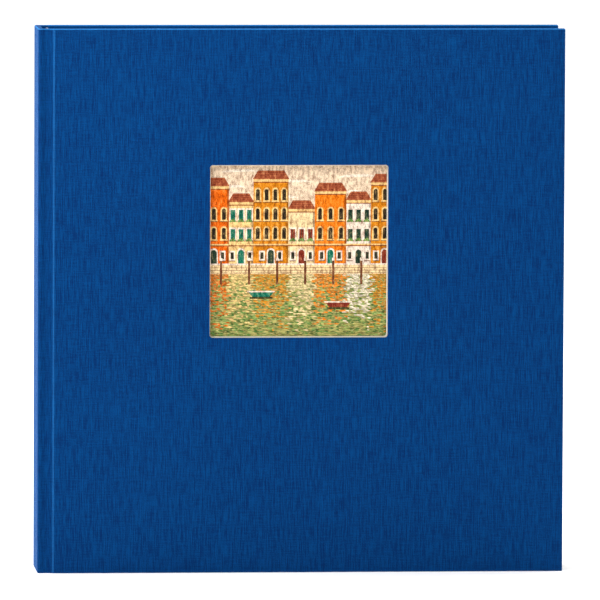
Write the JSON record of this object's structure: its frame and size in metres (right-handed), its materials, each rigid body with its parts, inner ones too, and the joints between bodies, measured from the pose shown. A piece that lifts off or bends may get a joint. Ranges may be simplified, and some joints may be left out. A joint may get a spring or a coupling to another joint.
{
  "type": "scrapbook album",
  "caption": "Square case-bound scrapbook album with a blue linen cover, a cut-out picture window in the front board, creased card leaves and hinged covers, standing closed.",
  "frame": {"origin": "centre of the closed album's footprint, on the surface that its tail edge stands on", "axes": "+X towards the fore edge, so the spine is at -X; -Y out of the front cover; +Z towards the head"},
  "size_m": [0.3, 0.0414, 0.31],
  "materials": {
    "cover_cloth": "matte",
    "grey_board": "matte",
    "cream_card": "matte",
    "endpaper": "matte",
    "print_paper": "satin",
    "leaf_card": "matte",
    "lining_paper": "matte",
    "mull_gauze": "matte",
    "band_thread": "satin"
  },
  "bodies": {
    "book_block": {"guard_block": "leaf_card", "mull": "mull_gauze", "spine_lining": "lining_paper", "headband": "band_thread", "tailband": "band_thread", "spine_board": "grey_board", "spine_cloth": "cover_cloth"},
    "front_cover": {"front_board": "grey_board", "front_cloth": "cover_cloth", "window_card": "cream_card", "front_pastedown": "endpaper", "pocket_spacer": "cream_card"},
    "back_cover": {"back_board": "grey_board", "back_cloth": "cover_cloth", "back_card": "cream_card", "back_pastedown": "endpaper"},
    "window_print": {"window_print": "print_paper"},
    "front_flyleaf": {"front_flyleaf": "endpaper"},
    "back_flyleaf": {"back_flyleaf": "endpaper"},
    "leaf_01": {"leaf_01": "leaf_card"},
    "leaf_02": {"leaf_02": "leaf_card"},
    "leaf_03": {"leaf_03": "leaf_card"},
    "leaf_04": {"leaf_04": "leaf_card"},
    "leaf_05": {"leaf_05": "leaf_card"},
    "leaf_06": {"leaf_06": "leaf_card"},
    "leaf_07": {"leaf_07": "leaf_card"},
    "leaf_08": {"leaf_08": "leaf_card"},
    "leaf_09": {"leaf_09": "leaf_card"},
    "leaf_10": {"leaf_10": "leaf_card"},
    "leaf_11": {"leaf_11": "leaf_card"},
    "leaf_12": {"leaf_12": "leaf_card"},
    "leaf_13": {"leaf_13": "leaf_card"},
    "leaf_14": {"leaf_14": "leaf_card"},
    "leaf_15": {"leaf_15": "leaf_card"},
    "leaf_16": {"leaf_16": "leaf_card"},
    "leaf_17": {"leaf_17": "leaf_card"},
    "leaf_18": {"leaf_18": "leaf_card"},
    "leaf_19": {"leaf_19": "leaf_card"},
    "leaf_20": {"leaf_20": "leaf_card"},
    "leaf_21": {"leaf_21": "leaf_card"},
    "leaf_22": {"leaf_22": "leaf_card"},
    "leaf_23": {"leaf_23": "leaf_card"},
    "leaf_24": {"leaf_24": "leaf_card"},
    "leaf_25": {"leaf_25": "leaf_card"},
    "leaf_26": {"leaf_26": "leaf_card"},
    "leaf_27": {"leaf_27": "leaf_card"},
    "leaf_28": {"leaf_28": "leaf_card"},
    "leaf_29": {"leaf_29": "leaf_card"},
    "leaf_30": {"leaf_30": "leaf_card"}
  },
  "joints": [
    {"name": "front_cover_hinge", "type": "hinge", "parent": "book_block", "child": "front_cover", "pos_m": [-0.145, -0.02075, 0.155], "axis": [0, 0, -1], "range_deg": [0, 179]},
    {"name": "back_cover_hinge", "type": "hinge", "parent": "book_block", "child": "back_cover", "pos_m": [-0.145, 0.02075, 0.155], "axis": [0, 0, 1], "range_deg": [0, 179]},
    {"name": "print_slide", "type": "slide", "parent": "front_cover", "child": "window_print", "axis": [1, 0, 0], "range_m": [0, 0.19]},
    {"name": "front_flyleaf_crease", "type": "hinge", "parent": "book_block", "child": "front_flyleaf", "pos_m": [-0.1312, -0.0155, 0.155], "axis": [0, 0, -1], "range_deg": [0, 134.8]},
    {"name": "leaf_01_crease", "type": "hinge", "parent": "book_block", "child": "leaf_01", "pos_m": [-0.1312, -0.0145, 0.155], "axis": [0, 0, -1], "range_deg": [0, 60.5]},
    {"name": "leaf_02_crease", "type": "hinge", "parent": "book_block", "child": "leaf_02", "pos_m": [-0.1312, -0.0135, 0.155], "axis": [0, 0, -1], "range_deg": [0, 56.5]},
    {"name": "leaf_03_crease", "type": "hinge", "parent": "book_block", "child": "leaf_03", "pos_m": [-0.1312, -0.0125, 0.155], "axis": [0, 0, -1], "range_deg": [0, 52.5]},
    {"name": "leaf_04_crease", "type": "hinge", "parent": "book_block", "child": "leaf_04", "pos_m": [-0.1312, -0.0115, 0.155], "axis": [0, 0, -1], "range_deg": [0, 48.5]},
    {"name": "leaf_05_crease", "type": "hinge", "parent": "book_block", "child": "leaf_05", "pos_m": [-0.1312, -0.0105, 0.155], "axis": [0, 0, -1], "range_deg": [0, 44.5]},
    {"name": "leaf_06_crease", "type": "hinge", "parent": "book_block", "child": "leaf_06", "pos_m": [-0.1312, -0.0095, 0.155], "axis": [0, 0, -1], "range_deg": [0, 40.5]},
    {"name": "leaf_07_crease", "type": "hinge", "parent": "book_block", "child": "leaf_07", "pos_m": [-0.1312, -0.0085, 0.155], "axis": [0, 0, -1], "range_deg": [0, 36.5]},
    {"name": "leaf_08_crease", "type": "hinge", "parent": "book_block", "child": "leaf_08", "pos_m": [-0.1312, -0.0075, 0.155], "axis": [0, 0, -1], "range_deg": [0, 32.5]},
    {"name": "leaf_09_crease", "type": "hinge", "parent": "book_block", "child": "leaf_09", "pos_m": [-0.1312, -0.0065, 0.155], "axis": [0, 0, -1], "range_deg": [0, 28.5]},
    {"name": "leaf_10_crease", "type": "hinge", "parent": "book_block", "child": "leaf_10", "pos_m": [-0.1312, -0.0055, 0.155], "axis": [0, 0, -1], "range_deg": [0, 24.5]},
    {"name": "leaf_11_crease", "type": "hinge", "parent": "book_block", "child": "leaf_11", "pos_m": [-0.1312, -0.0045, 0.155], "axis": [0, 0, -1], "range_deg": [0, 20.5]},
    {"name": "leaf_12_crease", "type": "hinge", "parent": "book_block", "child": "leaf_12", "pos_m": [-0.1312, -0.0035, 0.155], "axis": [0, 0, -1], "range_deg": [0, 16.5]},
    {"name": "leaf_13_crease", "type": "hinge", "parent": "book_block", "child": "leaf_13", "pos_m": [-0.1312, -0.0025, 0.155], "axis": [0, 0, -1], "range_deg": [0, 12.5]},
    {"name": "leaf_14_crease", "type": "hinge", "parent": "book_block", "child": "leaf_14", "pos_m": [-0.1312, -0.0015, 0.155], "axis": [0, 0, -1], "range_deg": [0, 8.5]},
    {"name": "leaf_15_crease", "type": "hinge", "parent": "book_block", "child": "leaf_15", "pos_m": [-0.1312, -0.0005, 0.155], "axis": [0, 0, -1], "range_deg": [0, 4.5]},
    {"name": "leaf_16_crease", "type": "hinge", "parent": "book_block", "child": "leaf_16", "pos_m": [-0.1312, 0.0005, 0.155], "axis": [0, 0, 1], "range_deg": [0, 4.5]},
    {"name": "leaf_17_crease", "type": "hinge", "parent": "book_block", "child": "leaf_17", "pos_m": [-0.1312, 0.0015, 0.155], "axis": [0, 0, 1], "range_deg": [0, 8.5]},
    {"name": "leaf_18_crease", "type": "hinge", "parent": "book_block", "child": "leaf_18", "pos_m": [-0.1312, 0.0025, 0.155], "axis": [0, 0, 1], "range_deg": [0, 12.5]},
    {"name": "leaf_19_crease", "type": "hinge", "parent": "book_block", "child": "leaf_19", "pos_m": [-0.1312, 0.0035, 0.155], "axis": [0, 0, 1], "range_deg": [0, 16.5]},
    {"name": "leaf_20_crease", "type": "hinge", "parent": "book_block", "child": "leaf_20", "pos_m": [-0.1312, 0.0045, 0.155], "axis": [0, 0, 1], "range_deg": [0, 20.5]},
    {"name": "leaf_21_crease", "type": "hinge", "parent": "book_block", "child": "leaf_21", "pos_m": [-0.1312, 0.0055, 0.155], "axis": [0, 0, 1], "range_deg": [0, 24.5]},
    {"name": "leaf_22_crease", "type": "hinge", "parent": "book_block", "child": "leaf_22", "pos_m": [-0.1312, 0.0065, 0.155], "axis": [0, 0, 1], "range_deg": [0, 28.5]},
    {"name": "leaf_23_crease", "type": "hinge", "parent": "book_block", "child": "leaf_23", "pos_m": [-0.1312, 0.0075, 0.155], "axis": [0, 0, 1], "range_deg": [0, 32.5]},
    {"name": "leaf_24_crease", "type": "hinge", "parent": "book_block", "child": "leaf_24", "pos_m": [-0.1312, 0.0085, 0.155], "axis": [0, 0, 1], "range_deg": [0, 36.5]},
    {"name": "leaf_25_crease", "type": "hinge", "parent": "book_block", "child": "leaf_25", "pos_m": [-0.1312, 0.0095, 0.155], "axis": [0, 0, 1], "range_deg": [0, 40.5]},
    {"name": "leaf_26_crease", "type": "hinge", "parent": "book_block", "child": "leaf_26", "pos_m": [-0.1312, 0.0105, 0.155], "axis": [0, 0, 1], "range_deg": [0, 44.5]},
    {"name": "leaf_27_crease", "type": "hinge", "parent": "book_block", "child": "leaf_27", "pos_m": [-0.1312, 0.0115, 0.155], "axis": [0, 0, 1], "range_deg": [0, 48.5]},
    {"name": "leaf_28_crease", "type": "hinge", "parent": "book_block", "child": "leaf_28", "pos_m": [-0.1312, 0.0125, 0.155], "axis": [0, 0, 1], "range_deg": [0, 52.5]},
    {"name": "leaf_29_crease", "type": "hinge", "parent": "book_block", "child": "leaf_29", "pos_m": [-0.1312, 0.0135, 0.155], "axis": [0, 0, 1], "range_deg": [0, 56.5]},
    {"name": "leaf_30_crease", "type": "hinge", "parent": "book_block", "child": "leaf_30", "pos_m": [-0.1312, 0.0145, 0.155], "axis": [0, 0, 1], "range_deg": [0, 60.5]},
    {"name": "back_flyleaf_crease", "type": "hinge", "parent": "book_block", "child": "back_flyleaf", "pos_m": [-0.1312, 0.0155, 0.155], "axis": [0, 0, 1], "range_deg": [0, 134.8]}
  ],
  "couplings": [
    {"joint": "front_flyleaf_crease", "follows": "front_cover_hinge", "ratio": 0.75},
    {"joint": "leaf_01_crease", "follows": "front_cover_hinge", "ratio": 0.33333},
    {"joint": "leaf_02_crease", "follows": "front_cover_hinge", "ratio": 0.31111},
    {"joint": "leaf_03_crease", "follows": "front_cover_hinge", "ratio": 0.28889},
    {"joint": "leaf_04_crease", "follows": "front_cover_hinge", "ratio": 0.26667},
    {"joint": "leaf_05_crease", "follows": "front_cover_hinge", "ratio": 0.24444},
    {"joint": "leaf_06_crease", "follows": "front_cover_hinge", "ratio": 0.22222},
    {"joint": "leaf_07_crease", "follows": "front_cover_hinge", "ratio": 0.2},
    {"joint": "leaf_08_crease", "follows": "front_cover_hinge", "ratio": 0.17778},
    {"joint": "leaf_09_crease", "follows": "front_cover_hinge", "ratio": 0.15556},
    {"joint": "leaf_10_crease", "follows": "front_cover_hinge", "ratio": 0.13333},
    {"joint": "leaf_11_crease", "follows": "front_cover_hinge", "ratio": 0.11111},
    {"joint": "leaf_12_crease", "follows": "front_cover_hinge", "ratio": 0.08889},
    {"joint": "leaf_13_crease", "follows": "front_cover_hinge", "ratio": 0.06667},
    {"joint": "leaf_14_crease", "follows": "front_cover_hinge", "ratio": 0.04444},
    {"joint": "leaf_15_crease", "follows": "front_cover_hinge", "ratio": 0.02222},
    {"joint": "leaf_16_crease", "follows": "back_cover_hinge", "ratio": 0.02222},
    {"joint": "leaf_17_crease", "follows": "back_cover_hinge", "ratio": 0.04444},
    {"joint": "leaf_18_crease", "follows": "back_cover_hinge", "ratio": 0.06667},
    {"joint": "leaf_19_crease", "follows": "back_cover_hinge", "ratio": 0.08889},
    {"joint": "leaf_20_crease", "follows": "back_cover_hinge", "ratio": 0.11111},
    {"joint": "leaf_21_crease", "follows": "back_cover_hinge", "ratio": 0.13333},
    {"joint": "leaf_22_crease", "follows": "back_cover_hinge", "ratio": 0.15556},
    {"joint": "leaf_23_crease", "follows": "back_cover_hinge", "ratio": 0.17778},
    {"joint": "leaf_24_crease", "follows": "back_cover_hinge", "ratio": 0.2},
    {"joint": "leaf_25_crease", "follows": "back_cover_hinge", "ratio": 0.22222},
    {"joint": "leaf_26_crease", "follows": "back_cover_hinge", "ratio": 0.24444},
    {"joint": "leaf_27_crease", "follows": "back_cover_hinge", "ratio": 0.26667},
    {"joint": "leaf_28_crease", "follows": "back_cover_hinge", "ratio": 0.28889},
    {"joint": "leaf_29_crease", "follows": "back_cover_hinge", "ratio": 0.31111},
    {"joint": "leaf_30_crease", "follows": "back_cover_hinge", "ratio": 0.33333},
    {"joint": "back_flyleaf_crease", "follows": "back_cover_hinge", "ratio": 0.75}
  ]
}
